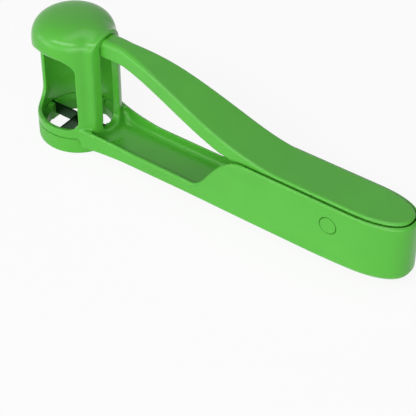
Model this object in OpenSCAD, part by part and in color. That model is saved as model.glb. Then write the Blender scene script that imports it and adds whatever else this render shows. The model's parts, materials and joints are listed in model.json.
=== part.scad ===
// Grape cutter: a one-hand squeeze tool. A long lever swings down over an arm and drives
// a grooved pusher through a round chamber, pressing fruit through a cross of two blades.
// Millimetres, +Z up. +X points along the tool to the grip end and the loading window is on the -Y side.

/* [Head] */
// Outer radius of the round chamber
tube_radius = 18.3; // [17.9:0.1:19]
// Wall thickness of the chamber
tube_wall = 2.1; // [1.9:0.1:2.3]
// Height where the dome starts to close
dome_base = 49.6; // [48.8:0.2:51]
// Rise of the dome above its base
dome_rise = 12; // [11.6:0.1:13]
// How square the dome's shoulder is
dome_fullness = 2.7; // [2.6:0.1:3.2]
// Shell thickness over the dome
dome_shell = 2.1; // [1.8:0.1:2.2]

/* [Window] */
// Height of the window's sill
window_floor = 12; // [11.4:0.2:13]
// Rear edge of the window, behind the chamber's axis
window_rear = 11.6; // [10.5:0.1:12]
// Set-off of the window's front edge from the middle plane
window_front = 2.7; // [1.5:0.1:4]
// Corner radius at the rear of the window
window_corner = 5; // [3:0.5:6]
// Radius where the front edge sweeps into the sill
window_sweep = 7; // [5:0.5:8]
// Rounding of the dome's lower edge over the window
lintel_round = 2.6; // [1.5:0.1:3]

/* [Lever slot] */
// Half width of the slot behind the chamber
slot_half = 5.5; // [5.4:0.1:6]
// Height of the slot's sill
slot_floor = 12; // [11:0.2:12]
// Half width of the raised frame round the slot
portal_half = 9.2; // [8.8:0.1:9.6]
// How far the frame stands proud of the chamber
portal_proud = 0.9; // [0.6:0.1:1.2]

/* [Blade ring] */
// Height of the blade ring at the front
ring_height = 8; // [7.6:0.1:8.4]
// Step of the ring's outside under the chamber
ring_step = 0.3; // [0.2:0.1:0.6]
// Wall of the inner collar that holds the blades
collar_wall = 0.95; // [0.9:0.05:1.1]

/* [Blades] */
// Height of the blades' lower edge
blade_floor = 2.6; // [2.2:0.1:2.8]
// Height of the blades' cutting edge
blade_top = 8.9; // [8.5:0.1:8.9]
// Thickness of the blade steel
blade_thickness = 0.5; // [0.4:0.05:0.6]

/* [Arm and grip] */
// Height of the arm's underside above the ring's foot
arm_bottom = 3.7; // [3.5:0.1:4]
// Height of the arm's side walls
arm_top = 10; // [9.6:0.1:10.6]
// Thickness of the floor
floor_thickness = 2.1; // [1.8:0.1:2.3]
// Half width of the arm at its waist
arm_half = 11.8; // [11.4:0.1:12.2]
// Half width of the grip
grip_half = 12.3; // [12:0.1:12.8]
// Height of the grip's rim
grip_rim = 31.6; // [31.2:0.1:32.2]
// Thickness of the side walls
side_wall = 1.4; // [1.3:0.05:1.5]
// Rounding of the grip's lower edges
grip_round = 3; // [2:0.2:4]
// Rounding of the lower edge round the grip's end
end_round = 6; // [4:0.5:6.5]
// Distance of the grip's end behind the pivot
end_behind_pivot = 32.7; // [31:0.1:35]

/* [Lever] */
// Half width of the lever's nose
nose_half = 4.3; // [4:0.1:4.4]
// Height of the lever's top over the grip's rim
lever_proud = 1; // [0.4:0.1:1.4]
// Seam between the lever and the grip
lever_seam = 0.4; // [0.35:0.05:0.6]
// Shell thickness of the lever
lever_shell = 2; // [1.8:0.1:2.2]

/* [Pivot] */
// Distance of the pivot behind the chamber's axis
pivot_reach = 138.6; // [137:0.2:141]
// Height of the pivot
pivot_height = 22.4; // [22.1:0.1:22.6]
// Radius of the steel axle
axle_radius = 2.5; // [2.3:0.1:2.6]
// Radius of the caps over the axle's ends
cap_radius = 3.95; // [3.6:0.05:4.1]

/* [Pusher] */
// Length of the pusher's fingers under its web
finger_length = 5.9; // [5.6:0.1:6.1]
// Width of the grooves that clear the blades
groove_width = 2; // [2:0.1:2.4]

/* [Spring] */
// Radius of the spring wire
wire_radius = 0.6; // [0.5:0.05:0.65]
// Mean radius of the spring's coil
coil_radius = 4; // [3.9:0.1:4.1]
// Whole turns of the spring's coil
coil_turns = 4; // [3:1:4]

/* [Hidden] */
$fn = 96;
step_count = 28;
far = 60;

// Clearances
running_gap = 0.05;
over = 1;
seam_overlap = 0.1;

// Shared places
bore_radius = tube_radius - tube_wall;
portal_radius = tube_radius + portal_proud;
grip_end = pivot_reach + end_behind_pivot;
middle = (grip_end - tube_radius) / 2;
floor_top = arm_bottom + floor_thickness;
lintel_drop = 0.9;
lintel_stop = 0.6;
window_top = dome_base - lintel_drop;

// The lever's nose, which stops just above the slot's sill
nose_rise = 6.7;
nose_lift = 0.2;
nose_stop = 0.65;
nose_top = dome_base + nose_rise;
nose_bottom = dome_base + nose_lift;
nose_turn = tube_radius - 1.3;
nose_reach = pivot_reach - nose_turn;
nose_height = nose_bottom - pivot_height;
nose_low = slot_floor + nose_stop - pivot_height;
swing = atan2(nose_height, nose_reach) - asin(nose_low / norm([nose_reach, nose_height]));
slot_headroom = 0.8;
slot_corner = 2.5;
slot_top = nose_top + slot_headroom;
portal_hood = 1.6;
portal_corner = 7;
portal_top = slot_top + portal_hood;

// The pin of the pusher, which comes to the chamber's axis when the lever is down
pin_boss = 2.6;
pin_radius = 1.25;
pin_height = nose_top - pin_boss;
pin_rise = pin_height - pivot_height;
pin_rest = pivot_reach - (pivot_reach - pin_rise * sin(swing)) / cos(swing);
pin_low = pivot_height + pin_rise * cos(swing) - (pivot_reach - pin_rest) * sin(swing);

// The blade ring
collar_gap = 0.1;
holder_depth = 1.3;
holder_half = 1.5;
notch_front = 11;
notch_gap = 0.2;
ring_radius = tube_radius - ring_step;
collar_radius = bore_radius - collar_gap;
exit_radius = collar_radius - collar_wall;
holder_radius = exit_radius - holder_depth;
blade_half = collar_radius - collar_gap;
blade_slot_gap = 0.05;
blade_edge = 0.8;
blade_tip = 0.05;

// The screws under the arm's root
screw_place = [tube_radius, 6.1];
screw_radius = 0.9;
screw_head_radius = 1.7;
screw_head_height = 1.1;
screw_head_gap = 0.15;
screw_seat = 2.4;
screw_tip = floor_top + 0.5;
screw_tip_gap = 0.2;
recess_half = 1;
recess_width = 0.5;
recess_depth = 0.6;
tongue_end = tube_radius + 4.7;
tongue_half = 9;
tongue_bottom = 1.2;
root_round = 6;

// The grip
grip_inner = grip_half - side_wall;
sweep_start = pivot_reach - 72.6;
sweep_end = pivot_reach - 44.6;
grip_widen = [pivot_reach - 80.6, pivot_reach - 38.6];
rim_round = 1.6;
end_length = 24;
end_fullness = 2.2;
end_wall = 4;
end_angles = [25, 45, 60, 72, 82];
root_reach = tube_radius + 21.7;
root_spread = 6;
root_bend = 2.2;
fade_end = pivot_reach - 43.6;
fade_angle = 1.6;
edge_proud = 0.1;

// The pivot
boss_wall = 1.9;
boss_radius = axle_radius + boss_wall;
boss_depth = 2.3;
boss_inner = grip_inner - boss_depth;
cap_depth = 0.9;
cap_gap = 0.12;
cap_crown = 0.2;
cap_edge = 0.1;
cap_bevel = 0.5;
stem_radius = 1.2;
stem_length = 2.5;
stem_gap = 0.3;

// The lever
skirt_gap = 0.8;
rest_gap = 0.3;
ear_gap = 0.4;
ear_wall = 2.9;
ear_inner = 5.6;
lever_half = grip_inner - lever_seam;
lever_end = grip_end - side_wall - lever_seam;
lever_rear_top = grip_rim + lever_proud;
skirt_bottom = pivot_height + boss_radius + skirt_gap;
rest_shelf = skirt_bottom - rest_gap;
top_fall = [tube_radius + 2.7, pivot_reach - 22.6];
bottom_fall = [tube_radius + 7.2, pivot_reach - 30.1];
widen = [tube_radius + 3.7, pivot_reach - 38.6];
widen_bend = 1.2;
skirt_wall = 1.9;
pocket_front = tube_radius + 13.7;
pocket_drop = 5;
ear_outer = boss_inner - ear_gap;
ear_radius = axle_radius + ear_wall;

// The pusher, whose web stops just above the blades
lug_gap = 0.4;
lug_width = 2.2;
lug_root = 0.5;
lug_inner = nose_half + lug_gap;
lug_outer = lug_inner + lug_width;
pusher_gap = 0.7;
pusher_radius = bore_radius - pin_rest - pusher_gap;
pusher_web = 1.1;
web_gap = 0.45;
pusher_top = pin_height - pin_low + blade_top + web_gap + pusher_web;
pusher_tip = pusher_top - pusher_web - finger_length;
channel_gap = 0.6;
channel_floor = nose_bottom - channel_gap;
channel_front = 4.5;

// Smooth step from 0 to 1
function ease(u) = u <= 0 ? 0 : u >= 1 ? 1 : u * u * (3 - 2 * u);
// Place of x between the two ends of a span
function part_of(x, span) = (x - span[0]) / (span[1] - span[0]);
// Evenly spaced values from a to b
function spread(a, b, n) = [for (i = [0 : n]) a + (b - a) * i / n];

// Half width of the arm and grip along the tool
function body_half(x) =
    arm_half
    + (x < root_reach ? root_spread * pow((root_reach - x) / root_reach, root_bend) : 0)
    + (grip_half - arm_half) * ease(part_of(x, grip_widen));

// Half width of the rounded grip end
function end_half(x, half, last) =
    x <= last - end_length ? half
    : half * pow(1 - pow((x - last + end_length) / end_length, end_fullness), 1 / end_fullness);

// Half width of the lever along the tool
function lever_width(x) =
    x <= widen[0] ? nose_half
    : x >= widen[1] ? lever_half
    : nose_half + (lever_half - nose_half) * pow(sin(90 * part_of(x, widen)), widen_bend);

// Height of the lever's top and underside along the tool
function lever_top(x) = nose_top - (nose_top - lever_rear_top) * ease(part_of(x, top_fall));
function lever_bottom(x) =
    x < nose_turn
    ? nose_bottom + (pin_height - pin_boss - nose_bottom) * (nose_turn - x) / (nose_turn - pin_rest)
    : nose_bottom - (nose_bottom - skirt_bottom) * ease(part_of(x, bottom_fall));

// Height of the arm's and grip's upper edge along the tool
function side_height(x) = arm_top + (grip_rim - arm_top) * ease(part_of(x, [sweep_start, sweep_end]));

// Moves the tool from the chamber's axis to the middle of its length
module placed() {
    translate([-middle, 0, 0]) children();
}

// Extrudes a side view, drawn in x and z, across the tool
module across(half) {
    rotate([90, 0, 0]) linear_extrude(2 * half, center = true) children();
}

// Extrudes an end view, drawn in y and z, along the tool
module along(start, end) {
    translate([start, 0, 0]) rotate([90, 0, 90]) linear_extrude(end - start) children();
}

// Round profile of the head for a radius, a base and a rise
module dome_profile(radius, base, rise, bottom) {
    angles = spread(0, 90, step_count);
    power = 2 / dome_fullness;
    polygon(concat(
        [[0, bottom], [radius, bottom]],
        [for (a = angles) [radius * pow(max(cos(a), 0), power), base + rise * pow(max(sin(a), 0), power)]]
    ));
}

// Places along a plan from its front to its rounded end, closer together round the end
function plan_places(front, last) = concat(
    spread(front, last - end_length, 2 * step_count),
    [for (i = [1 : step_count - 1]) last - end_length + end_length * pow(sin(90 * i / step_count), 2 / end_fullness)]
);

// Closed outline from the points of one side and the point at its end
module both_sides(side, last) {
    polygon(concat(side, [[last, 0]], [for (i = [len(side) - 1 : -1 : 0]) [side[i][0], -side[i][1]]]));
}

// Plan of the arm and the grip, drawn in at its sides and at its end
module body_plan(inset, end_inset) {
    last = grip_end - end_inset;
    both_sides([for (x = plan_places(0, last)) [x, end_half(x, body_half(x) - inset, last)]], last);
}

// Side view of the arm and the grip
module body_side() {
    xs = spread(sweep_start, sweep_end, step_count);
    polygon(concat(
        [[0, arm_bottom], [0, arm_top]],
        [for (x = xs) [x, side_height(x)]],
        [[grip_end, grip_rim], [grip_end, arm_bottom]]
    ));
}

// Place and heading of the rounded end's outline at an angle
function end_place(a) = [
    grip_end - end_length + end_length * pow(sin(a), 2 / end_fullness),
    grip_half * pow(cos(a), 2 / end_fullness)
];
function end_heading(a) = let (ahead = end_place(a + 0.5) - end_place(a - 0.5)) atan2(ahead[1], ahead[0]);

// Waste outside a rounded lower edge, drawn outwards and up from the side's face
module foot_waste(round) {
    arc = spread(0, 90, 8);
    polygon(concat(
        [for (a = arc) [edge_proud - round + round * cos(a), arm_bottom - edge_proud + round - round * sin(a)]],
        [[edge_proud - round, arm_bottom - over], [round, arm_bottom - over], [round, arm_bottom + round]]
    ));
}

// Waste outside the rounded rim, drawn the same way
module rim_waste() {
    arc = spread(0, 90, 6);
    polygon(concat(
        [for (a = arc) [edge_proud - rim_round + rim_round * sin(a), grip_rim + edge_proud - rim_round + rim_round * cos(a)]],
        [[rim_round, grip_rim - rim_round], [rim_round, grip_rim + over], [edge_proud - rim_round, grip_rim + over]]
    ));
}

// Outer form of the arm and the grip, its lower edges fading out along the arm
module grip_outer() {
    difference() {
        intersection() {
            linear_extrude(grip_rim) body_plan(0, 0);
            across(far) body_side();
        }
        for (s = [0, 1]) mirror([0, s, 0]) {
            along(fade_end, grip_end) translate([grip_half, 0]) {
                foot_waste(grip_round);
                rim_waste();
            }
            translate([fade_end, grip_half, 0]) rotate([0, 0, -fade_angle])
                along(-fade_end, seam_overlap) foot_waste(grip_round);
            for (a = end_angles)
                translate(end_place(a)) rotate([0, 0, end_heading(a)]) along(-end_length, end_length) {
                    foot_waste(grip_round + (end_round - grip_round) * sin(a));
                    rim_waste();
                }
        }
        translate([grip_end, 0, 0]) rotate([0, 0, -90]) along(-grip_half, grip_half) {
            foot_waste(end_round);
            rim_waste();
        }
    }
}

// Hollow of the arm and the grip, open at the top, with a shelf at its end that the lever rests over
module grip_hollow() {
    difference() {
        union() {
            translate([0, 0, floor_top]) linear_extrude(far) body_plan(side_wall, end_wall);
            translate([0, 0, rest_shelf]) linear_extrude(far) body_plan(side_wall, side_wall);
        }
        cylinder(h = far, r = tube_radius);
        root_fillet();
    }
}

// Concave root between the chamber and the arm's floor
module root_fillet() {
    outer = tube_radius + root_round;
    high = floor_top + root_round;
    rotate_extrude() polygon(concat(
        [[tube_radius - over, floor_top - over], [outer, floor_top - over]],
        [for (a = spread(0, 90, 10)) [outer - root_round * sin(a), high - root_round * cos(a)]],
        [[tube_radius - over, high]]
    ));
}

// Upright opening with rounded upper corners, drawn in y and z
module arch(half, bottom, top, corner) {
    translate([-half, bottom]) square([2 * half, top - corner - bottom]);
    translate([-half + corner, bottom]) square([2 * (half - corner), top - bottom]);
    for (s = [-1, 1]) translate([s * (half - corner), top - corner]) circle(corner);
}

// Raised frame round the lever's slot
module portal() {
    intersection() {
        along(slot_half, portal_radius + over) arch(portal_half, floor_top, portal_top, portal_corner);
        cylinder(h = 2 * far, r = portal_radius);
    }
}

// Slot for the lever
module lever_slot() {
    along(portal_half, portal_radius + root_round) arch(slot_half, slot_floor, slot_top, slot_corner);
}

// Loading window on the near side
module window_cut() {
    height = window_top - window_floor;
    intersection() {
        across(far) union() {
            translate([-far, window_floor]) square([far + window_rear - window_corner, height]);
            translate([-far, window_floor + window_corner]) square([far + window_rear, height - 2 * window_corner]);
            for (z = [window_floor + window_corner, window_top - window_corner])
                translate([window_rear - window_corner, z]) circle(window_corner);
        }
        along(-far, far) union() {
            translate([-far, window_floor + window_sweep]) square([far - window_front, height]);
            translate([-far, window_floor]) square([far - window_front - window_sweep, height]);
            translate([-window_front - window_sweep, window_floor + window_sweep]) circle(window_sweep);
        }
    }
}

// Rounding of the dome's lower edge over the window
module lintel_cut() {
    first = 180 + asin(window_front / tube_radius);
    last = 360 - acos((window_rear - window_corner - lintel_stop) / tube_radius);
    rotate([0, 0, first]) rotate_extrude(angle = last - first) difference() {
        translate([tube_radius - lintel_round, window_top - over]) square([lintel_round + over, lintel_round + over]);
        translate([tube_radius - lintel_round, window_top + lintel_round]) circle(lintel_round);
        translate([tube_radius - 2 * lintel_round, window_top + lintel_round]) square([4 * lintel_round, lintel_round]);
    }
}

// Body: chamber, dome, arm and grip in one moulding
module body() {
    boss_length = boss_depth + seam_overlap;
    color("yellowgreen") placed() difference() {
        union() {
            rotate_extrude() dome_profile(tube_radius, dome_base, dome_rise, ring_height);
            portal();
            difference() {
                grip_outer();
                grip_hollow();
            }
            for (s = [-1, 1])
                translate([pivot_reach, s * (boss_inner + boss_length / 2), pivot_height])
                    rotate([90, 0, 0]) cylinder(h = boss_length, r = boss_radius, center = true);
        }
        // Space inside the chamber
        rotate_extrude() dome_profile(bore_radius, dome_base, dome_rise - dome_shell, -over);
        // Room for the ring in front of the arm's root
        translate([-far, -far, -over]) cube([far + notch_front, 2 * far, ring_height + over]);
        lever_slot();
        window_cut();
        lintel_cut();
        // Axle bores and the recesses for the caps
        translate([pivot_reach, 0, pivot_height]) rotate([90, 0, 0]) cylinder(h = far, r = axle_radius, center = true);
        for (s = [-1, 1])
            translate([pivot_reach, s * grip_half, pivot_height])
                rotate([90, 0, 0]) cylinder(h = 2 * cap_depth, r = cap_radius + cap_gap, center = true);
        // Holes for the ring's screws
        for (s = [-1, 1])
            translate([screw_place[0], s * screw_place[1], 0])
                cylinder(h = screw_tip + screw_tip_gap, r = screw_radius + running_gap, $fn = 32);
    }
}

// Plan of the lever, drawn in by an inset
module lever_plan(front, inset) {
    last = lever_end - inset;
    both_sides([for (x = plan_places(front, last)) [x, end_half(x, lever_width(x) - inset, last)]], last);
}

// Side view of the lever between two places, drawn in from the top and let down below
module lever_side(front, drop, lower) {
    xs = spread(front, grip_end, 3 * step_count);
    polygon(concat(
        [for (x = xs) [x, lever_top(x) - drop]],
        [for (i = [len(xs) - 1 : -1 : 0]) [xs[i], lever_bottom(xs[i]) - lower]]
    ));
}

// Lever: nose, bowed shank and grip plate in one shell with two ears for the axle
module lever() {
    color("olivedrab") placed() difference() {
        union() {
            difference() {
                intersection() {
                    linear_extrude(far + far) lever_plan(pin_rest, 0);
                    across(far) lever_side(pin_rest, 0, 0);
                }
                intersection() {
                    linear_extrude(far + far) lever_plan(pocket_front, skirt_wall);
                    across(far) lever_side(pocket_front, lever_shell, pocket_drop);
                }
            }
            translate([pin_rest, 0, pin_height]) rotate([90, 0, 0]) cylinder(h = 2 * nose_half, r = pin_boss, center = true);
            for (s = [-1, 1]) translate([pivot_reach, s * (ear_inner + ear_outer) / 2, pivot_height]) {
                rotate([90, 0, 0]) cylinder(h = ear_outer - ear_inner, r = ear_radius, center = true);
                translate([-ear_radius, -(ear_outer - ear_inner) / 2, 0])
                    cube([2 * ear_radius, ear_outer - ear_inner, lever_rear_top - lever_shell / 2 - pivot_height]);
            }
        }
        translate([pivot_reach, 0, pivot_height]) rotate([90, 0, 0]) cylinder(h = far, r = axle_radius + running_gap, center = true);
        translate([pin_rest, 0, pin_height]) rotate([90, 0, 0]) cylinder(h = far, r = pin_radius + running_gap, center = true);
    }
}

// Pusher: a round foot with crossed grooves and two lugs for its pin
module pusher() {
    color("palegreen") placed() translate([pin_rest, 0, 0]) difference() {
        union() {
            translate([0, 0, pusher_tip]) cylinder(h = pusher_top - pusher_tip, r = pusher_radius);
            for (s = [-1, 1]) translate([0, s * (lug_inner + lug_outer) / 2, 0]) {
                translate([0, 0, pin_height]) rotate([90, 0, 0]) cylinder(h = lug_width, r = pin_boss, center = true);
                translate([-pin_boss, -lug_width / 2, pusher_top - lug_root])
                    cube([2 * pin_boss, lug_width, pin_height - pusher_top + lug_root]);
            }
        }
        // Channel for the lever's nose
        translate([-channel_front, -lug_inner, channel_floor]) cube([far, 2 * lug_inner, far]);
        // Grooves for the two blades
        for (turn = [0, 90]) rotate([0, 0, turn])
            translate([-far, -groove_width / 2, pusher_tip - over]) cube([2 * far, groove_width, finger_length + over]);
        translate([0, 0, pin_height]) rotate([90, 0, 0]) cylinder(h = far, r = pin_radius, center = true);
    }
}

// Pin that carries the pusher in the lever's nose
module pusher_pin() {
    color("silver") placed() translate([pin_rest, 0, pin_height]) rotate([90, 0, 0])
        cylinder(h = 2 * lug_outer, r = pin_radius, center = true, $fn = 48);
}

// Steel axle of the lever with a blind hole in each end
module axle() {
    half = grip_half - cap_depth;
    color("silver") placed() translate([pivot_reach, 0, pivot_height]) rotate([90, 0, 0]) difference() {
        cylinder(h = 2 * half, r = axle_radius, center = true);
        for (s = [-1, 1]) translate([0, 0, s * half])
            cylinder(h = 2 * (stem_length + stem_gap), r = stem_radius + running_gap, center = true, $fn = 48);
    }
}

// Round cap with a stem that closes one end of the axle
module cap(side) {
    floor_y = grip_half - cap_depth;
    translate([pivot_reach, side * floor_y, pivot_height]) rotate([side * -90, 0, 0]) rotate_extrude() polygon([
        [0, -stem_length], [stem_radius, -stem_length], [stem_radius, 0], [cap_radius, 0],
        [cap_radius, cap_depth - cap_edge], [cap_radius - cap_bevel, cap_depth + cap_edge], [0, cap_depth + cap_crown]
    ]);
}

// Cap on the window's side
module cap_left() {
    color("yellowgreen") placed() cap(-1);
}

// Cap on the closed side
module cap_right() {
    color("yellowgreen") placed() cap(1);
}

// Path of the spring: a leg on the floor, the coil and a leg under the lever
coil_half = 4.2;
lower_reach = 33;
upper_reach = 26;
lower_rise = pivot_height - floor_top - wire_radius;
upper_rise = lever_top(pivot_reach - upper_reach) - lever_shell - wire_radius - pivot_height;
lower_span = sqrt(lower_reach * lower_reach + lower_rise * lower_rise);
upper_span = sqrt(upper_reach * upper_reach + upper_rise * upper_rise);
lower_angle = 180 + atan2(lower_rise, lower_reach) + acos(coil_radius / lower_span) - 360;
upper_angle = 180 - atan2(upper_rise, upper_reach) - acos(coil_radius / upper_span);
coil_sweep = upper_angle - lower_angle + 360 * coil_turns;
coil_steps = ceil(coil_sweep / 45);
spring_path = concat(
    [[-lower_reach, -coil_half, -lower_rise]],
    [for (i = [0 : coil_steps]) let (a = lower_angle + coil_sweep * i / coil_steps)
        [coil_radius * cos(a), -coil_half + 2 * coil_half * i / coil_steps, coil_radius * sin(a)]],
    [[-upper_reach, coil_half, upper_rise]]
);
wire_sides = 6;

// Direction of the path at one of its points
function unit(v) = v / norm(v);
function path_way(i) =
    i == 0 ? unit(spring_path[1] - spring_path[0])
    : i == len(spring_path) - 1 ? unit(spring_path[i] - spring_path[i - 1])
    : unit(unit(spring_path[i + 1] - spring_path[i]) + unit(spring_path[i] - spring_path[i - 1]));
wire_points = [for (i = [0 : len(spring_path) - 1])
    let (way = path_way(i), flat = unit(cross(way, [0, 1, 0])), rise = cross(flat, way))
    for (k = [0 : wire_sides - 1])
        spring_path[i] + wire_radius * (cos(360 * k / wire_sides) * flat + sin(360 * k / wire_sides) * rise)];
wire_faces = concat(
    [[for (k = [0 : wire_sides - 1]) k]],
    [for (i = [0 : len(spring_path) - 2]) for (k = [0 : wire_sides - 1])
        [i * wire_sides + k, (i + 1) * wire_sides + k, (i + 1) * wire_sides + (k + 1) % wire_sides, i * wire_sides + (k + 1) % wire_sides]],
    [[for (k = [wire_sides - 1 : -1 : 0]) (len(spring_path) - 1) * wire_sides + k]]
);
// Least gap between neighbouring turns, measured on the path's points
turn_steps = coil_steps * 360 / coil_sweep;
turn_gaps = [for (i = [1 : coil_steps - floor(turn_steps)])
    for (j = [i + floor(turn_steps * 0.75) : min(coil_steps, i + ceil(turn_steps * 1.25))])
        norm(spring_path[i] - spring_path[j]) - 2 * wire_radius];
echo(spring_least_gap = min(turn_gaps));
echo(lever_swing_degrees = swing, pin_rest = pin_rest, middle = middle);

// Return spring round the axle
module return_spring() {
    color("lightgray") placed() translate([pivot_reach, 0, pivot_height]) polyhedron(wire_points, wire_faces, convexity = 10);
}

// Blade ring: outer band, inner collar with four blade holders and a tongue under the arm's root
module blade_ring() {
    color("olivedrab") placed() difference() {
        union() {
            difference() {
                cylinder(h = ring_height, r = ring_radius);
                translate([notch_front - notch_gap, -far, arm_bottom]) cube([far, 2 * far, far]);
            }
            cylinder(h = ring_height, r = collar_radius);
            translate([0, -tongue_half, tongue_bottom]) cube([tongue_end, 2 * tongue_half, arm_bottom - tongue_bottom]);
        }
        difference() {
            translate([0, 0, -over]) cylinder(h = ring_height + 2 * over, r = exit_radius);
            for (turn = [0 : 90 : 270]) rotate([0, 0, turn])
                translate([holder_radius, -holder_half, 0]) cube([far, 2 * holder_half, ring_height]);
        }
        for (turn = [0, 90]) rotate([0, 0, turn])
            translate([-blade_half - blade_slot_gap, -blade_thickness / 2 - blade_slot_gap, blade_floor])
                cube([2 * (blade_half + blade_slot_gap), blade_thickness + 2 * blade_slot_gap, far]);
        for (s = [-1, 1]) translate([screw_place[0], s * screw_place[1], 0]) {
            translate([0, 0, -over]) cylinder(h = screw_seat + over, r = screw_head_radius + screw_head_gap, $fn = 48);
            cylinder(h = arm_bottom + over, r = screw_radius + running_gap, $fn = 32);
        }
    }
}

// Blade with a ground upper edge and a half-depth slot at its middle
module blade(slot_from_top) {
    half_way = (blade_floor + blade_top) / 2;
    slot_half_width = blade_thickness / 2 + blade_slot_gap;
    difference() {
        along(-blade_half, blade_half) polygon([
            [-blade_thickness / 2, blade_floor], [blade_thickness / 2, blade_floor],
            [blade_thickness / 2, blade_top - blade_edge], [blade_tip, blade_top],
            [-blade_tip, blade_top], [-blade_thickness / 2, blade_top - blade_edge]
        ]);
        translate([-slot_half_width, -over, slot_from_top ? half_way : blade_floor - over])
            cube([2 * slot_half_width, 2 * over, slot_from_top ? far : half_way - blade_floor + over]);
    }
}

// Blade along the tool
module blade_lengthwise() {
    color("gainsboro") placed() blade(true);
}

// Blade across the tool
module blade_crosswise() {
    color("gainsboro") placed() rotate([0, 0, 90]) blade(false);
}

// Two screws that hold the ring's tongue to the arm's root
module ring_screws() {
    color("silver") placed() for (s = [-1, 1]) translate([screw_place[0], s * screw_place[1], 0]) difference() {
        union() {
            translate([0, 0, screw_seat - screw_head_height]) cylinder(h = screw_head_height, r = screw_head_radius, $fn = 48);
            translate([0, 0, screw_seat - seam_overlap])
                cylinder(h = screw_tip - screw_seat + seam_overlap, r = screw_radius, $fn = 32);
        }
        for (turn = [0, 90]) rotate([0, 0, turn])
            translate([-recess_half, -recess_width / 2, screw_seat - screw_head_height - over])
                cube([2 * recess_half, recess_width, recess_depth + over]);
    }
}

body();
lever();
pusher();
pusher_pin();
axle();
cap_left();
cap_right();
return_spring();
blade_ring();
blade_lengthwise();
blade_crosswise();
ring_screws();
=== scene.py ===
# Dresses the grape cutter: moulded plastic skins, steel works, a pale studio floor and the camera.
import json
import math

import bmesh
import bpy
import numpy as np
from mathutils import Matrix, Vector

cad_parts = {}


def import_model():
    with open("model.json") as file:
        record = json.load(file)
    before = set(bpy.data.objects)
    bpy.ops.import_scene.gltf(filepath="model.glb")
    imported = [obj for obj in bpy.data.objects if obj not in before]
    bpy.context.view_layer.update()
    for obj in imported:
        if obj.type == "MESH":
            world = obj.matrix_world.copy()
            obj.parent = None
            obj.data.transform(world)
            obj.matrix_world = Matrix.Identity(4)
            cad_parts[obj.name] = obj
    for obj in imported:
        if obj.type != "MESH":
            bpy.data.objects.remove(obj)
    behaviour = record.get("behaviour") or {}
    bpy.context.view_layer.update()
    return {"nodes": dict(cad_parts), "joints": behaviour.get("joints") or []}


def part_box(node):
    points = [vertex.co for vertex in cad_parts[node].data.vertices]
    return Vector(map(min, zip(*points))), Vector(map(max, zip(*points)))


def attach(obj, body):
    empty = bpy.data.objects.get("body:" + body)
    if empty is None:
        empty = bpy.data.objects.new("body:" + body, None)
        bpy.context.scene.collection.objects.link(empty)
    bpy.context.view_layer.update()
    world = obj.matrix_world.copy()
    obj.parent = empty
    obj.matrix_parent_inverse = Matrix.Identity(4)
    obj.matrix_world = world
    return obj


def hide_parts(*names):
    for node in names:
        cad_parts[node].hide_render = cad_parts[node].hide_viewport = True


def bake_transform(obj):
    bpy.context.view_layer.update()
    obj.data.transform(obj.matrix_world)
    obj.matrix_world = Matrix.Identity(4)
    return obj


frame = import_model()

# Sizes are in millimetres and places are measured from the chamber's axis
MM = 0.001
sides = (-1, 1)

# Grid of the skins, room round each form and the distance within which points become one
coarse_step = 0.5
fine_step = 0.4
margin = 1.5
weld = 0.004


# Lowest and highest corner of a node from the chamber's axis
def corners(node):
    low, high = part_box(node)
    shift = Vector((axis_x, 0, 0))
    return low / MM - shift, high / MM - shift


# Chamber and dome, whose axis lies one radius behind the body's front
axis_x = 0
body_low, body_high = corners("body")
tube_radius = body_high.y
axis_x = body_low.x + tube_radius
body_low, body_high = corners("body")
tube_wall = 2.1
bore_radius = tube_radius - tube_wall
bore_foot = 0.05
bore_edge = 0.5
bore_edge_fade = [10, 13]
dome_base = 49.6
dome_rise = body_high.z - dome_base
dome_shell = 2.1
dome_fullness = 2.8

# Loading window
window_floor = 12
window_drop = 0.9
window_top = dome_base - window_drop
window_rear = 11.3
window_front = 3.2
window_corner = 5
lintel_corner = 6.5
window_sweep = 7
window_lip = 0.8
lintel_round = 2.6
lintel_rise = [38, 47]
lintel_rear = [1, 9]
lintel_front = [5, 15]
lintel_dip = 1.2

# Lever slot and the raised frame round it
slot_half = 5.4
slot_floor = 10
slot_top = 57.9
slot_corner = 5
slot_lip = 0.45
sill_corner = 3.5
sill_lip = 1.6
sill_fade = [11, 18]
portal_half = 9.5
portal_top = 59.5
portal_corner = 9
portal_rise = 1.2
portal_radius = tube_radius + portal_rise
portal_edge = 0.6
portal_fillet = 2.4

# Blade ring
ring_high = corners("blade_ring")[1]
ring_height = ring_high.z
ring_radius = tube_radius
ring_foot = 0.6
ring_edge = 0.3
collar_play = 0.1
collar_radius = bore_radius - collar_play
exit_wall = 1.5
exit_radius = collar_radius - exit_wall
exit_edge = 0.2
holder_depth = 0.6
holder_radius = exit_radius - holder_depth
holder_half = 2.5
holder_edge = 0.4
notch_front = 12.1
notch_corner = 1.4
seam_gap = 0.3
seam_lip = 0.3
seam_band = 0.6
seam_depth = [bore_radius, tube_radius - seam_band]
lead_in = [4.5, 8]
tongue_end = ring_high.x
tongue_half = 9
tongue_bottom = 1.2
tongue_corner = 1.5

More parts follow.
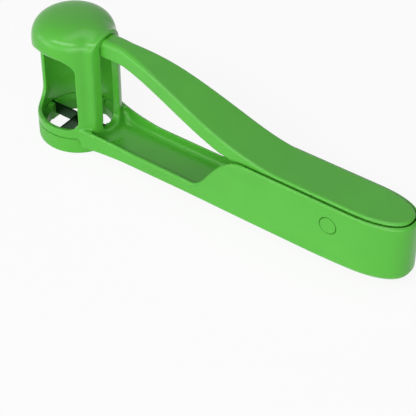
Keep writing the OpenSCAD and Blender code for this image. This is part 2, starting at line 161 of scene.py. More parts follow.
# Arm and grip
grip_end = body_high.x
arm_bottom = body_low.z
arm_top = 10.5
floor_thickness = 2.1
floor_top = arm_bottom + floor_thickness
arm_half = 11.8
grip_half = 12.3
grip_rim = 32.2
side_wall = 1.4
grip_inner = grip_half - side_wall
arm_wall = 1.6
arm_wall_fade = [45, 64]
foot_arm = 0.8
foot_grip = 1.6
foot_end = 4
foot_fade = [35, 95]
foot_end_fade = [130, grip_end]
rim_arm = 1.5
rim_grip = 1.6
sweep = [73.2, 96]
sweep_bend = 0.63
sweep_softening = [-3, -1.5, 0, 1.5, 3]
grip_widen = [58, 100]
end_length = 24
end_fullness = 2.35
end_wall = 4
root_reach = 40
root_spread = 6
root_bend = 2.2
root_rise = 5
root_rise_bend = 1.5
root_round = 6
root_fillet = 0.6
root_flow = 2.5
root_margin = 3
floor_fillet = 2
corner_fillet = 5
corner_reach = 10
thin_edge = 0.35

# Pivot
joints = {joint["name"]: Vector(joint["pos_m"]) / MM for joint in frame["joints"]}
pivot_x = joints["lever_swing"].x - axis_x
pivot_z = joints["lever_swing"].z
axle_radius = 2.5
running_play = 0.05
boss_radius = 4.4
boss_length = 2.3
boss_inner = grip_inner - boss_length
boss_seat = 0.3
boss_edge = 0.3
boss_fillet = 0.5
cap_low, cap_high = corners("cap_right")
cap_share = 0.47
cap_radius = cap_share * (cap_high.z - cap_low.z)
cap_depth = 0.9
cap_gap = 0.35
cap_rim = 0.35
cap_crown = cap_high.y - grip_half
cap_rim_turn = (0, 85)
crown_stations = (0.9, 0.7, 0.4)
cap_segments = 96
stem_radius = 1.2
stem_length = 2.5
recess_radius = cap_radius + cap_gap
recess_lip = 0.15
recess_lip_turn = (97, 180)

# Lever
lever_high = corners("lever")[1]
lever_end = lever_high.x
lever_inset = 0.05
lever_half = lever_high.y - lever_inset
plate_rise = 1.1
lever_rear_top = grip_rim + plate_rise
nose_half = 4.55
nose_crown = 1.2
nose_top = lever_high.z + nose_crown
nose_drop = 0.2
nose_bottom = dome_base - nose_drop
nose_back = 1.3
nose_turn = tube_radius - nose_back
pin_x = joints["pusher_level"].x - axis_x
pin_z = joints["pusher_level"].z
pin_boss = 2.6
pin_boss_edge = 0.4
pin_boss_fillet = 0.2
pin_radius = 1.25
skirt_bottom = 27.4
rest_shelf = 27.3
skirt_wall = 1.9
skirt_inset = 0.8
flange_overlap = 0.3
flange_bottom = grip_rim - flange_overlap
lever_shell = 2
nose_edge = 2.7
lever_edge = 1.3
lever_edge_fade = [27, 55]
lever_lower_edge = 0.8
top_fall = [23, 114]
bottom_fall = [23.4, 109.4]
widen = [30, 89]
widen_bend = 1.05
pocket_front = 32
pocket_round = 1
ear_inner = 5.6
ear_outer = 7.8
ear_radius = 5.4
ear_edge = 0.4
ear_fillet = 0.5

# Pusher
pusher_low, pusher_high = corners("pusher")
pusher_radius = (pusher_high.x - pusher_low.x) / 2
pusher_tip = pusher_low.z
pusher_top = 51.8
pusher_rim = 0.6
pusher_foot = 0.5
finger_length = 5.9
groove_half = 1
groove_edge = 0.3
lug_inner = 4.7
lug_outer = 6.9
lug_seat = 0.5
lug_edge = 0.3
lug_fillet = 0.4
channel_floor = 49.2
channel_front = 4.5
channel_edge = 0.4

# Screws under the arm's root
screw_x = tube_radius
screw_y = 6.1
screw_radius = 0.95
screw_recess = 1.85
screw_seat = 2.4
screw_start = 1
screw_depth = 6.5
screw_places = [(screw_x, side * screw_y, 0) for side in sides]
cutter_over = 1

# Return spring
wire_radius = 0.6
coil_radius = 4
coil_half = 4.2
coil_turns = 4
lower_reach = 33
upper_reach = 26
coil_points = 26
leg_points = 10
wire_sides = 14
wire_end = 0.6


# Smooth step from 0 to 1
def ease(part):
    part = np.clip(part, 0, 1)
    return part * part * (3 - 2 * part)


# Place of x between the two ends of a span
def part_of(x, span):
    return (x - span[0]) / (span[1] - span[0])


# Intersection of two forms with a rounded edge
def meet(a, b, rounding):
    outside = np.hypot(np.maximum(a + rounding, 0), np.maximum(b + rounding, 0))
    return np.minimum(-rounding, np.maximum(a, b)) + outside


# Union of two forms with a fillet
def join(a, b, rounding):
    return -meet(-a, -b, rounding)


# First form without the second, with a rounded edge
def cut(a, b, rounding):
    return meet(a, -b, rounding)


# Signed distance above a height that changes along x
def above(z, height, x):
    reach = 0.05
    slope = (height(x + reach) - height(x - reach)) / (2 * reach)
    return (z - height(x)) / np.sqrt(1 + slope * slope)


# Signed distance from a superellipse for two distances given as shares of its half axes
def superellipse(first, second, first_axis, second_axis, fullness):
    least_size = 0.05
    least_slope = 0.002
    size = np.maximum((first**fullness + second**fullness) ** (1 / fullness), least_size)
    steepness = np.hypot(first ** (fullness - 1) / first_axis, second ** (fullness - 1) / second_axis)
    return (size - 1) / np.maximum(size ** (1 - fullness) * steepness, least_slope)


# Plan with a half width that changes along x and a rounded end
def plan(x, y, width, last):
    side = above(np.abs(y), width, x)
    start = last - end_length
    half = float(width(np.array(last)))
    along = np.maximum(x - start, 0) / end_length
    end = superellipse(along, np.abs(y) / half, end_length, half, end_fullness)
    return np.where(x > start, end, side)


# Round head with a domed top
def dome(x, y, z, radius, rise):
    height = np.maximum(z - dome_base, 0) / rise
    return superellipse(np.hypot(x, y) / radius, height, radius, rise, dome_fullness)


# Upright opening with rounded upper corners
def arch(y, z, half, bottom, top, corner):
    return np.maximum(meet(np.abs(y) - half, z - top, corner), bottom - z)


# Round bar across the tool
def bar(x, z, at_x, at_z, radius):
    return np.hypot(x - at_x, z - at_z) - radius


# Slab between two distances from the middle plane
def slab(y, inner, outer):
    return np.maximum(inner - np.abs(y), np.abs(y) - outer)


# Half width of the arm and grip, which spreads at the root
def body_half(x):
    root = np.clip((root_reach - x) / root_reach, 0, None)
    return arm_half + root_spread * root**root_bend + (grip_half - arm_half) * ease(part_of(x, grip_widen))


# Height of the arm's rim, which sweeps up to the grip's
def side_height(x):
    root = np.clip((root_reach - x) / root_reach, 0, None)
    steps = [ease(np.clip(part_of(x + shift, sweep), 0, 1) ** sweep_bend) for shift in sweep_softening]
    swept = sum(steps) / len(steps)
    return arm_top + root_rise * root**root_rise_bend + (grip_rim - arm_top) * swept


# Half width of the lever from its nose to its grip plate
def lever_width(x):
    turn = np.clip(part_of(x, widen), 0, 1) * math.pi / 2
    return nose_half + (lever_half - nose_half) * np.sin(turn) ** widen_bend


# Height of the lever's top
def lever_top(x):
    return nose_top - (nose_top - lever_rear_top) * ease(part_of(x, top_fall))


# Height of the lever's underside
def lever_bottom(x):
    nose = np.clip((nose_turn - x) / (nose_turn - pin_x), 0, None) * (pin_z - pin_boss - nose_bottom)
    return nose_bottom + nose - (nose_bottom - skirt_bottom) * ease(part_of(x, bottom_fall))


# Arm and grip as an open trough
def trough(x, y, z):
    foot = foot_arm + (foot_grip - foot_arm) * ease(part_of(x, foot_fade))
    foot = foot + (foot_end - foot_grip) * ease(part_of(x, foot_end_fade))
    rim = rim_arm + (rim_grip - rim_arm) * ease(part_of(x, sweep))
    outer = meet(plan(x, y, body_half, grip_end), arm_bottom - z, foot)
    outer = meet(outer, above(z, side_height, x), rim)

    def inner_half(place):
        fade = 1 - ease(part_of(place, arm_wall_fade))
        return body_half(place) - side_wall - (arm_wall - side_wall) * fade

    clear = np.hypot(x, y) - tube_radius
    root = meet(floor_top - z, -clear, root_round)
    corner = floor_fillet + (corner_fillet - floor_fillet) * (1 - ease(clear / corner_reach))
    hollow = meet(plan(x, y, inner_half, grip_end - end_wall), root, corner)
    seat = meet(plan(x, y, inner_half, grip_end - side_wall), rest_shelf - z, thin_edge)
    hollow = np.minimum(hollow, seat)
    return np.maximum(cut(outer, hollow, thin_edge), -x)


# Loading window on the near side
def window(x, y, z):
    top = window_top - lintel_dip * ease(part_of(-x, lintel_front))
    side = meet(meet(x - window_rear, z - top, lintel_corner), window_floor - z, window_corner)
    return np.maximum(side, meet(y + window_front, window_floor - z, window_sweep))


# Body without its small bores
def body_form(x, y, z):
    head = np.maximum(dome(x, y, z, tube_radius, dome_rise), ring_height - z)
    portal = arch(y, z, portal_half, floor_top, portal_top, portal_corner)
    portal = np.maximum(meet(portal, np.hypot(x, y) - portal_radius, portal_edge), slot_half - x)
    inside = ease((body_half(x) - root_margin - np.abs(y)) / root_margin)
    flow = root_fillet + (root_flow - root_fillet) * inside
    form = join(join(head, portal, portal_fillet), trough(x, y, z), flow)
    form = np.maximum(form, np.abs(y) - tube_radius)
    lintel = ease(part_of(z, lintel_rise)) * (1 - ease(part_of(x, lintel_rear)))
    lintel = lintel * (1 - ease(part_of(-x, lintel_front)))
    form = cut(form, window(x, y, z), window_lip + (lintel_round - window_lip) * lintel)
    slot = meet(meet(np.abs(y) - slot_half, z - slot_top, slot_corner), slot_floor - z, sill_corner)
    slot = np.maximum(np.maximum(slot, portal_half - x), x - portal_radius - root_round)
    form = cut(form, slot, sill_lip + (slot_lip - sill_lip) * ease(part_of(z, sill_fade)))
    edge = bore_foot + (bore_edge - bore_foot) * ease(part_of(z, bore_edge_fade))
    form = cut(form, dome(x, y, z, bore_radius, dome_rise - dome_shell), edge)
    notch = meet(x - notch_front, z - ring_height, notch_corner)
    lower = 1 - ease(part_of(z, [arm_bottom, arm_bottom + notch_corner]))
    form = cut(form, notch, seam_lip + (notch_corner - seam_lip) * lower)
    boss = bar(x, z, pivot_x, pivot_z, boss_radius)
    boss = meet(boss, slab(y, boss_inner, grip_inner + boss_seat), boss_edge)
    return join(form, boss, boss_fillet)


# Body with the recesses for the caps, whose rounded lips shade smoothly
def body_shading(x, y, z):
    recess = np.maximum(bar(x, z, pivot_x, pivot_z, recess_radius), grip_half - cap_depth - np.abs(y))
    return cut(body_form(x, y, z), recess, recess_lip)


# Lever without its bores: nose, bowed shank and hollow grip plate with two ears
def lever_form(x, y, z):
    top = above(z, lever_top, x)
    edge = nose_edge + (lever_edge - nose_edge) * ease(part_of(x, lever_edge_fade))
    outer = meet(plan(x, y, lever_width, lever_end), top, edge)
    outer = meet(outer, -above(z, lever_bottom, x), lever_lower_edge)

    def skirt_half(place):
        return lever_width(place) - skirt_inset

    skirt = plan(x, y, skirt_half, lever_end - skirt_inset)
    outer = np.maximum(outer, np.minimum(skirt, flange_bottom - z))
    outer = np.maximum(outer, pin_x - x)
    nose = meet(bar(x, z, pin_x, pin_z, pin_boss), np.abs(y) - nose_half, pin_boss_edge)
    outer = join(outer, nose, pin_boss_fillet)

    def pocket_half(place):
        return lever_width(place) - skirt_wall

    pocket = meet(plan(x, y, pocket_half, lever_end - skirt_wall), top + lever_shell, pocket_round)
    form = cut(outer, meet(pocket, pocket_front - x, pocket_round), thin_edge)
    ear = np.maximum(np.abs(x - pivot_x) - ear_radius, pivot_z - z)
    ear = np.maximum(ear, z - lever_rear_top + lever_shell / 2)
    ear = np.minimum(ear, bar(x, z, pivot_x, pivot_z, ear_radius))
    return join(form, meet(ear, slab(y, ear_inner, ear_outer), ear_edge), ear_fillet)


# Pusher without its bore: round foot with crossed grooves and two lugs
def pusher_form(x, y, z):
    x = x - pin_x
    disc = meet(np.hypot(x, y) - pusher_radius, z - pusher_top, pusher_rim)
    disc = meet(disc, pusher_tip - z, pusher_foot)
    lug = np.maximum(np.maximum(np.abs(x) - pin_boss, z - pin_z), pusher_top - lug_seat - z)
    lug = np.minimum(lug, bar(x, z, 0, pin_z, pin_boss))
    form = join(disc, meet(lug, slab(y, lug_inner, lug_outer), lug_edge), lug_fillet)
    channel = np.maximum(np.maximum(-channel_front - x, np.abs(y) - lug_inner), channel_floor - z)
    form = cut(form, channel, channel_edge)
    groove = np.maximum(np.minimum(np.abs(x), np.abs(y)) - groove_half, z - pusher_tip - finger_length)
    return cut(form, groove, groove_edge)


# Blade ring without its screw holes: band, collar with four blade holders and a tongue
def ring_form(x, y, z):
    rho = np.hypot(x, y)
    gap = seam_gap * ease(part_of(rho, seam_depth))
    under = meet(x - notch_front + gap, z - ring_height + gap, notch_corner)
    under = join(under, z - arm_bottom + seam_gap / 2, notch_corner)
    band = meet(meet(rho - ring_radius, under, seam_lip), -z, ring_foot)
    collar = meet(meet(rho - collar_radius, z - ring_height, ring_edge), -z, ring_edge)
    tongue = meet(x - tongue_end, np.abs(y) - tongue_half, tongue_corner)
    tongue = meet(tongue, np.maximum(tongue_bottom - z, z - arm_bottom), ring_edge)
    form = join(np.minimum(band, collar), np.maximum(tongue, -x), ring_edge)
    holder = np.maximum(np.abs(y) - holder_half, holder_radius - np.abs(x))
    holder = np.minimum(holder, np.maximum(np.abs(x) - holder_half, holder_radius - np.abs(y)))
    bore = rho - exit_radius - (collar_radius - exit_radius) * ease(part_of(z, lead_in))
    return cut(form, cut(bore, holder, holder_edge), exit_edge)


# Direction in which a field grows fastest, at points
def heading(field, points):
    reach = 0.02
    least = 1e-9
    grown = []
    for axis in range(3):
        ahead = points.copy()
        ahead[:, axis] += reach
        behind = points.copy()
        behind[:, axis] -= reach
        grown.append(field(*ahead.T) - field(*behind.T))
    grown = np.stack(grown, 1)
    return grown / np.maximum(np.linalg.norm(grown, axis=1, keepdims=True), least)


# Corners of a grid cell, and its edges as pairs of corners
cell_corners = [(i, j, k) for i in (0, 1) for j in (0, 1) for k in (0, 1)]
cell_edges = [
    (np.array(a), np.array(b))
    for a in cell_corners
    for b in cell_corners
    if a < b and sum(abs(p - q) for p, q in zip(a, b)) == 1
]


# One point in each cell that the surface crosses, and the quads between neighbouring cells
def surface_net(field, low, high, step):
    counts = np.ceil((high - low) / step).astype(int) + 1
    lines = [low[axis] + step * np.arange(counts[axis]) for axis in range(3)]
    values = field(lines[0][:, None, None], lines[1][None, :, None], lines[2][None, None, :])
    inside = values < 0
    filled = sum(
        inside[i : counts[0] - 1 + i, j : counts[1] - 1 + j, k : counts[2] - 1 + k].astype(np.int8)
        for i, j, k in cell_corners
    )
    crossed = (filled > 0) & (filled < 8)
    cells = np.argwhere(crossed)
    number = np.full(crossed.shape, -1)
    number[crossed] = np.arange(len(cells))
    total = np.zeros((len(cells), 3))
    hits = np.zeros((len(cells), 1))
    for start, end in cell_edges:
        first = values[tuple((cells + start).T)]
        second = values[tuple((cells + end).T)]
        crossing = (first < 0) != (second < 0)
        share = np.where(crossing, first / np.where(crossing, first - second, 1), 0)
        total += crossing[:, None] * (cells + start + share[:, None] * (end - start))
        hits += crossing[:, None]
    points = low + step * total / hits
    quads = []
    for axis in range(3):
        right, up = (axis + 1) % 3, (axis + 2) % 3
        ahead = np.moveaxis(inside, (axis, right, up), (0, 1, 2))
        grid = np.moveaxis(number, (axis, right, up), (0, 1, 2))
        for solid_first in (True, False):
            change = (ahead[:-1] == solid_first) & (ahead[1:] != solid_first)
            i, j, k = np.nonzero(change)
            ring = [grid[i, j - 1, k - 1], grid[i, j, k - 1], grid[i, j, k], grid[i, j - 1, k]]
            quads.append(np.stack(ring if solid_first else ring[::-1], 1))
    return points, np.concatenate(quads)


# Spreads the points evenly over the surface
def relaxed(points, quads):
    total = np.zeros_like(points)
    hits = np.zeros(len(points))
    for side in range(4):
        own = quads[:, side]
        for other in (quads[:, (side + 1) % 4], quads[:, (side + 3) % 4]):
            hits += np.bincount(own, minlength=len(points))
            for axis in range(3):
                total[:, axis] += np.bincount(own, points[other, axis], minlength=len(points))
    return total / hits[:, None]


# Points and quads of a form's surface, each point drawn onto the surface
def skin_points(field, low, high, step):
    turns = 6
    spreading_turns = (1, 2, 3)
    spreading = 0.6
    points, quads = surface_net(field, low, high, step)
    for turn in range(turns):
        way = heading(field, points)
        if turn in spreading_turns:
            drift = relaxed(points, quads) - points
            points = points + spreading * (drift - way * np.sum(drift * way, 1, keepdims=True))
        depth = np.clip(field(*points.T), -step / 2, step / 2)
        points = points - way * depth[:, None]
    return points, quads


# Mesh object in metres from points in millimetres
def piece(name, points, faces):
    mesh = bpy.data.meshes.new(name)
    places = (np.asarray(points, float) + [axis_x, 0, 0]) * MM
    mesh.from_pydata(places.tolist(), [], [list(map(int, face)) for face in faces])
    mesh.polygons.foreach_set("use_smooth", [True] * len(mesh.polygons))
    mesh.update()
    made = bpy.data.objects.new(name, mesh)
    bpy.context.scene.collection.objects.link(made)
    return made


# Round form turned from a profile of radius and height, along a direction from a place
def lathe(name, profile, place, direction, segments=64):
    turn = np.arange(segments) * 2 * math.pi / segments
    base = Vector(direction).to_track_quat("Z", "Y").to_matrix()
    points = []
    rings = []
    for radius, height in profile:
        rings.append(range(len(points), len(points) + (segments if radius > 0 else 1)))
        for angle in turn if radius > 0 else turn[:1]:
            point = base @ Vector((radius * math.cos(angle), radius * math.sin(angle), height))
            points.append(np.array(place) + np.array(point))
    faces = []
    for first, second in zip(rings, rings[1:]):
        for i in range(segments):
            j = (i + 1) % segments
            face = [first[i % len(first)], first[j % len(first)]]
            face += [second[j % len(second)], second[i % len(second)]]
            faces.append(list(dict.fromkeys(face)))
    return piece(name, points, faces)


# Points on a quarter of a circle
def quarter(centre, radius, start, end, count=8):
    angles = [math.radians(start + (end - start) * i / count) for i in range(count + 1)]
    return [(centre[0] + radius * math.cos(a), centre[1] + radius * math.sin(a)) for a in angles]


# Splits the many-sided faces that a cutter leaves and takes out those with no area
def clean_faces(mesh):
    work = bmesh.new()
    work.from_mesh(mesh)
    bmesh.ops.remove_doubles(work, verts=work.verts, dist=weld * MM)
    many_sided = [face for face in work.faces if len(face.verts) > 4]
    bmesh.ops.triangulate(work, faces=many_sided)
    bmesh.ops.dissolve_degenerate(work, dist=weld * MM, edges=work.edges)
    work.to_mesh(mesh)
    work.free()


# Takes turned cutters out of a piece and deletes them
def drill(made, cutters):
    for cutter in cutters:
        boolean = made.modifiers.new("drill", "BOOLEAN")
        boolean.object = cutter
        boolean.operation = "DIFFERENCE"
        boolean.solver = "EXACT"
    ready = made.evaluated_get(bpy.context.evaluated_depsgraph_get())
    mesh = bpy.data.meshes.new_from_object(ready)
    made.modifiers.clear()
    made.data = mesh
    clean_faces(mesh)
    for cutter in cutters:
        bpy.data.objects.remove(cutter)


# Smooth shading that follows the form itself
def shade(made, field):
    count = len(made.data.vertices)
    places = np.empty(count * 3)
    made.data.vertices.foreach_get("co", places)
    points = places.reshape(-1, 3) / MM - [axis_x, 0, 0]
    made.data.polygons.foreach_set("use_smooth", [True] * len(made.data.polygons))
    made.data.normals_split_custom_set_from_vertices(heading(field, points).tolist())


# Gives a piece its finish, hides the node it stands in for and hangs it on the body it moves with
def settle(made, node, body, finish):
    made.data.materials.clear()
    made.data.materials.append(finish)
    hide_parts(node)
    if body:
        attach(made, body)
    return made


# Node tree of a new material with its shader and the object's own coordinates
def new_finish(name):
    finish = bpy.data.materials.new(name)
    finish.use_nodes = True
    tree = finish.node_tree
    shader = tree.nodes["Principled BSDF"]
    place = tree.nodes.new("ShaderNodeTexCoord").outputs["Object"]
    return finish, tree, shader, place


# Noise at a size in millimetres, spread between two values
def noise(tree, place, size, low, high):
    usual_low = 0.3
    usual_high = 0.7
    texture = tree.nodes.new("ShaderNodeTexNoise")
    texture.inputs["Scale"].default_value = 1 / (size * MM)
    texture.inputs["Detail"].default_value = 3
    tree.links.new(place, texture.inputs["Vector"])
    spread = tree.nodes.new("ShaderNodeMapRange")
    spread.inputs["From Min"].default_value = usual_low
    spread.inputs["From Max"].default_value = usual_high
    spread.inputs["To Min"].default_value = low
    spread.inputs["To Max"].default_value = high
    tree.links.new(texture.outputs["Fac"], spread.inputs["Value"])
    return spread.outputs["Result"]


# Colour that wanders between two shades
def tone(tree, shader, share, dark, light):
    mix = tree.nodes.new("ShaderNodeMix")
    mix.data_type = "RGBA"
    mix.inputs["A"].default_value = (*dark, 1)
    mix.inputs["B"].default_value = (*light, 1)
    tree.links.new(share, mix.inputs["Factor"])
    tree.links.new(mix.outputs["Result"], shader.inputs["Base Color"])


# Fine relief of a surface
def relief(tree, shader, height, depth, strength):
    bump = tree.nodes.new("ShaderNodeBump")
    bump.inputs["Distance"].default_value = depth * MM
    bump.inputs["Strength"].default_value = strength
    tree.links.new(height, bump.inputs["Height"])
    tree.links.new(bump.outputs["Normal"], shader.inputs["Normal"])


# Satin moulded plastic
def plastic(name, colour, rough):
    cloud_size = 22
    cloud_depth = 0.04
    patch_size = 1.5
    patch_depth = 0.02
    grain_size = 0.6
    grain_depth = 0.02
    grain_strength = 0.05
    finish, tree, shader, place = new_finish(name)
    dark = [(1 - cloud_depth) * value for value in colour]
    light = [(1 + cloud_depth) * value for value in colour]
    tone(tree, shader, noise(tree, place, cloud_size, 0, 1), dark, light)
    patches = noise(tree, place, patch_size, rough - patch_depth, rough + patch_depth)
    tree.links.new(patches, shader.inputs["Roughness"])
    relief(tree, shader, noise(tree, place, grain_size, 0, 1), grain_depth, grain_strength)
    shader.inputs["Specular IOR Level"].default_value = 0.34
    return finish


# Drawn or ground steel with fine lines along one axis
def steel(name, colour, rough, lines):
    streak_size = 0.8
    streak_shade = 0.9
    patch_size = 0.5
    smoother = 0.05
    rougher = 0.08
    grain_size = 0.3
    grain_depth = 0.01
    grain_strength = 0.15
    finish, tree, shader, place = new_finish(name)
    stretch = tree.nodes.new("ShaderNodeMapping")
    stretch.inputs["Scale"].default_value = lines
    tree.links.new(place, stretch.inputs["Vector"])
    drawn = stretch.outputs["Vector"]
    dark = [streak_shade * value for value in colour]
    tone(tree, shader, noise(tree, drawn, streak_size, 0, 1), dark, colour)
    patches = noise(tree, drawn, patch_size, rough - smoother, rough + rougher)
    tree.links.new(patches, shader.inputs["Roughness"])
    relief(tree, shader, noise(tree, drawn, grain_size, 0, 1), grain_depth, grain_strength)
    shader.inputs["Metallic"].default_value = 1
    return finish


green = (0.086, 0.45, 0.039)
body_plastic = plastic("body_plastic", green, rough=0.24)
lever_plastic = plastic("lever_plastic", green, rough=0.24)
pusher_plastic = plastic("pusher_plastic", (0.08, 0.42, 0.036), rough=0.4)
ring_plastic = plastic("ring_plastic", (0.084, 0.44, 0.038), rough=0.45)
pin_steel = steel("pin_steel", (0.62, 0.62, 0.63), rough=0.28, lines=(1, 0.06, 1))
spring_steel = steel("spring_steel", (0.55, 0.55, 0.56), rough=0.32, lines=(0.3, 0.3, 0.3))
# Blade steel with a dark green base colour: a painted reflection of the shaded green chamber round the
# blades
blade_steel = steel("blade_steel", (0.02, 0.065, 0.022), rough=0.4, lines=(1, 1, 0.06))
screw_steel = steel("screw_steel", (0.6, 0.6, 0.61), rough=0.3, lines=(1, 1, 1))

upward = (0, 0, 1)
across = (0, 1, 0)


# Hole along an axis through a place
def hole(radius, place, direction, start, end):
    return lathe("cutter", [(0, start), (radius, start), (radius, end), (0, end)], place, direction)


# Screw hole of the ring with the recess for the head
def screw_cutter(place):
    start = -cutter_over
    end = arm_bottom + cutter_over
    profile = [(0, start), (screw_recess, start), (screw_recess, screw_seat), (screw_radius, screw_seat)]
    profile += [(screw_radius, end), (0, end)]
    return lathe("cutter", profile, place, upward)


# Recess for a cap with a rounded lip and the axle's bore behind it, on one side
def cap_cutter(side):
    lip = quarter((recess_radius + recess_lip, -recess_lip), recess_lip, *recess_lip_turn)
    profile = [(0, cutter_over), (lip[0][0], cutter_over), *lip, (recess_radius, -cap_depth)]
    deep = boss_inner - cutter_over - grip_half
    profile += [(axle_radius, -cap_depth), (axle_radius, deep), (0, deep)]
    place = (pivot_x, side * grip_half, pivot_z)
    return lathe("cutter", profile[::-1], place, (0, side, 0), cap_segments)


# Skin of a form inside a box, with its cutters taken out
def skin(name, form, low, high, step, cutters, shading):
    points, quads = skin_points(form, np.array(low, float) - margin, np.array(high, float) + margin, step)
    made = piece(name, points, quads)
    drill(made, cutters)
    shade(made, shading)
    return made


# Body
body_skin = skin(
    "body_skin",
    body_form,
    low=(-tube_radius, -tube_radius, arm_bottom),
    high=(grip_end, tube_radius, body_high.z),
    step=coarse_step,
    cutters=[cap_cutter(side) for side in sides]
    + [hole(screw_radius, place, upward, screw_start, screw_depth) for place in screw_places],
    shading=body_shading,
)
settle(body_skin, "body", "base", body_plastic)

# Lever
lever_skin = skin(
    "lever_skin",
    lever_form,
    low=(pin_x - pin_boss, -lever_half, pivot_z - ear_radius),
    high=(lever_end, lever_half, nose_top),
    step=coarse_step,
    cutters=[
        hole(axle_radius + running_play, (pivot_x, 0, pivot_z), across, -grip_inner, grip_inner),
        hole(pin_radius + running_play, (pin_x, 0, pin_z), across, -lug_outer, lug_outer),
    ],
    shading=lever_form,
)
settle(lever_skin, "lever", "lever", lever_plastic)

# Pusher
pusher_skin = skin(
    "pusher_skin",
    pusher_form,
    low=(pin_x - pusher_radius, -pusher_radius, pusher_tip),
    high=(pin_x + pusher_radius, pusher_radius, pin_z + pin_boss),
    step=fine_step,
    cutters=[hole(pin_radius, (pin_x, 0, pin_z), across, -pusher_radius, pusher_radius)],
    shading=pusher_form,
)
settle(pusher_skin, "pusher", "pusher", pusher_plastic)

# Blade ring
ring_skin = skin(
    "ring_skin",
    ring_form,
    low=(-ring_radius, -ring_radius, 0),
    high=(tongue_end, ring_radius, ring_height),
    step=fine_step,
    cutters=[screw_cutter(place) for place in screw_places],
    shading=ring_form,
)
settle(ring_skin, "blade_ring", "base", ring_plastic)


# Cap over one end of the axle, slightly crowned, with a stem
def cap(name, side):
    inner = cap_radius - cap_rim
    rim = quarter((inner, cap_depth + cap_crown / 2 - cap_rim), cap_rim, *cap_rim_turn)
    crown = [(inner * share, cap_depth + cap_crown * (1 - share * share / 2)) for share in crown_stations]
    profile = [(0, -stem_length), (stem_radius, -stem_length), (stem_radius, 0), (cap_radius, 0)]
    profile += [*rim, *crown, (0, cap_depth + cap_crown)]
    place = (pivot_x, side * (grip_half - cap_depth), pivot_z)
    made = lathe(name + "_turned", profile, place, (0, side, 0), cap_segments)
    return settle(made, name, "base", body_plastic)


cap("cap_left", -1)
cap("cap_right", 1)


# Path of the spring from the leg on the floor round the coil to the leg under the lever
def spring_path():
    lower_rise = pivot_z - floor_top - wire_radius
    upper_rise = float(lever_top(np.array(pivot_x - upper_reach))) - lever_shell - wire_radius - pivot_z
    lower_span = math.hypot(lower_reach, lower_rise)
    upper_span = math.hypot(upper_reach, upper_rise)
    first = math.atan2(lower_rise, lower_reach) + math.acos(coil_radius / lower_span) - math.pi
    last = math.pi - math.atan2(upper_rise, upper_reach) - math.acos(coil_radius / upper_span)
    swept = last - first + 2 * math.pi * coil_turns
    count = coil_points * coil_turns
    coil = []
    for i in range(count + 1):
        angle = first + swept * i / count
        sideways = coil_half * (2 * i / count - 1)
        coil.append(np.array((coil_radius * math.cos(angle), sideways, coil_radius * math.sin(angle))))
    start = np.array((-lower_reach, -coil_half, -lower_rise))
    end = np.array((-upper_reach, coil_half, upper_rise))
    lower = [start + (coil[0] - start) * i / leg_points for i in range(leg_points)]
    upper = [coil[-1] + (end - coil[-1]) * i / leg_points for i in range(1, leg_points + 1)]
    return [point + (pivot_x, 0, pivot_z) for point in lower + coil + upper]


# Round wire along a path with softened ends
def wire(name, path, radius):
    ways = np.gradient(np.array(path), axis=0)
    ways /= np.linalg.norm(ways, axis=1, keepdims=True)
    stations = [(path[0], ways[0], wire_end)]
    stations += [(place, way, 1) for place, way in zip(path, ways)]
    stations += [(path[-1], ways[-1], wire_end)]
    points = []
    for place, way, share in stations:
        flat = np.cross(way, across)
        flat /= np.linalg.norm(flat)
        rise = np.cross(flat, way)
        for k in range(wire_sides):
            turn = 2 * math.pi * k / wire_sides
            points.append(place + share * radius * (math.cos(turn) * flat + math.sin(turn) * rise))
    faces = [list(range(wire_sides))[::-1], list(range(len(points) - wire_sides, len(points)))]
    for i in range(len(stations) - 1):
        ring = i * wire_sides
        following = ring + wire_sides
        for k in range(wire_sides):
            j = (k + 1) % wire_sides
            faces.append([ring + k, ring + j, following + j, following + k])
    return piece(name, points, faces)


spring = wire("spring_wire", spring_path(), wire_radius)
settle(spring, "return_spring", None, spring_steel)
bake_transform(spring)

# Steel nodes keep their solids, with softened edges
steel_nodes = {
    "axle": (pin_steel, 0.25),
    "pusher_pin": (pin_steel, 0.25),
    "blade_lengthwise": (blade_steel, 0.04),
    "blade_crosswise": (blade_steel, 0.04),
    "ring_screws": (screw_steel, 0.12),
}
for name, (finish, edge) in steel_nodes.items():
    node = frame["nodes"][name]
    node.data.materials.clear()
    node.data.materials.append(finish)
    bevel = node.modifiers.new("soft_edges", "BEVEL")
    bevel.width = edge * MM
    bevel.segments = 2
    bevel.limit_method = "ANGLE"


# Share of a ray that sees the pale backdrop itself: camera, reflection and transmission rays
def seen(tree):
    path = tree.nodes.new("ShaderNodeLightPath")
    total = path.outputs["Is Camera Ray"]
    for kind in ("Is Glossy Ray", "Is Transmission Ray"):
        larger = tree.nodes.new("ShaderNodeMath")
        larger.operation = "MAXIMUM"
        tree.links.new(total, larger.inputs[0])
        tree.links.new(path.outputs[kind], larger.inputs[1])
        total = larger.outputs[0]
    return total


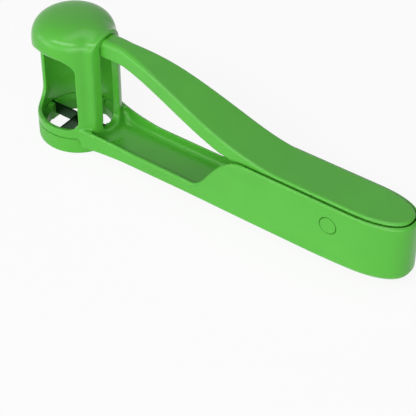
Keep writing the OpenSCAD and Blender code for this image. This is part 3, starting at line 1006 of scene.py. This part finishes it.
# Pale floor that keeps a soft shadow
def floor():
    half = 3000 * MM
    cloud_size = 400
    dark = (0.88, 0.88, 0.88)
    light = (0.9, 0.9, 0.9)
    glow_share = 0.9
    mesh = bpy.data.meshes.new("floor")
    floor_corners = [(-half, -half, 0), (half, -half, 0), (half, half, 0), (-half, half, 0)]
    mesh.from_pydata(floor_corners, [], [(0, 1, 2, 3)])
    made = bpy.data.objects.new("floor", mesh)
    bpy.context.scene.collection.objects.link(made)
    finish, tree, shader, place = new_finish("floor_paint")
    tone(tree, shader, noise(tree, place, cloud_size, 0, 1), dark, light)
    shader.inputs["Roughness"].default_value = 0.9
    shader.inputs["Specular IOR Level"].default_value = 0.1
    glow = tree.nodes.new("ShaderNodeEmission")
    mix = tree.nodes.new("ShaderNodeMixShader")
    share = tree.nodes.new("ShaderNodeMath")
    share.operation = "MULTIPLY"
    share.inputs[1].default_value = glow_share
    tree.links.new(seen(tree), share.inputs[0])
    tree.links.new(share.outputs[0], mix.inputs["Fac"])
    tree.links.new(shader.outputs["BSDF"], mix.inputs[1])
    tree.links.new(glow.outputs["Emission"], mix.inputs[2])
    tree.links.new(mix.outputs["Shader"], tree.nodes["Material Output"].inputs["Surface"])
    made.data.materials.append(finish)


# World that is white to the camera and a soft fill to the object
def world():
    fill_strength = 0.08
    made = bpy.data.worlds.new("studio")
    bpy.context.scene.world = made
    made.use_nodes = True
    tree = made.node_tree
    fill = tree.nodes["Background"]
    fill.inputs["Color"].default_value = (1, 1, 1, 1)
    fill.inputs["Strength"].default_value = fill_strength
    white = tree.nodes.new("ShaderNodeBackground")
    white.inputs["Color"].default_value = (1, 1, 1, 1)
    mix = tree.nodes.new("ShaderNodeMixShader")
    tree.links.new(seen(tree), mix.inputs["Fac"])
    tree.links.new(fill.outputs["Background"], mix.inputs[1])
    tree.links.new(white.outputs["Background"], mix.inputs[2])
    tree.links.new(mix.outputs["Shader"], tree.nodes["World Output"].inputs["Surface"])


# Soft box that looks at a target, in metres
def soft_box(name, place, target, width, height, power):
    data = bpy.data.lights.new(name, "AREA")
    data.shape = "RECTANGLE"
    data.size = width
    data.size_y = height
    data.energy = power
    made = bpy.data.objects.new(name, data)
    bpy.context.scene.collection.objects.link(made)
    made.location = place
    made.rotation_euler = (Vector(target) - Vector(place)).to_track_quat("-Z", "Y").to_euler()


floor()
world()
dome_middle = (-0.0765, 0, 0.055)
tool_middle = (0, 0, 0.03)
soft_box("key_box", (0.01, -0.825, 0.777), dome_middle, width=1.2, height=0.19, power=6)
soft_box("front_box", (-0.3, -1.13, 0.23), tool_middle, width=1.6, height=0.36, power=2.6)
soft_box("left_box", (-0.9, -0.75, 0.25), tool_middle, width=1, height=0.4, power=2.1)
soft_box("right_box", (0.8, -0.86, 0.25), tool_middle, width=1.2, height=0.4, power=5.4)
soft_box("top_box", (0.02, 0, 1.2), tool_middle, width=1.2, height=0.5, power=3.5)


# Camera at the photograph's angle, in a frame of 416 by 416 pixels
def camera():
    focal_pixels = 1500
    frame_pixels = 416
    azimuth = math.radians(36.05)
    elevation = math.radians(41.1)
    place = (360.9 + axis_x, -398.0, 418.0)
    level = math.cos(elevation)
    back = Vector((math.sin(azimuth) * level, -math.cos(azimuth) * level, math.sin(elevation)))
    data = bpy.data.cameras.new("camera")
    data.sensor_width = 36
    data.lens = data.sensor_width * focal_pixels / frame_pixels
    made = bpy.data.objects.new("camera", data)
    bpy.context.scene.collection.objects.link(made)
    made.location = Vector(place) * MM
    made.rotation_mode = "QUATERNION"
    made.rotation_quaternion = (-back).to_track_quat("-Z", "Y")
    bpy.context.scene.camera = made


camera()
bpy.context.scene.view_settings.view_transform = "Standard"
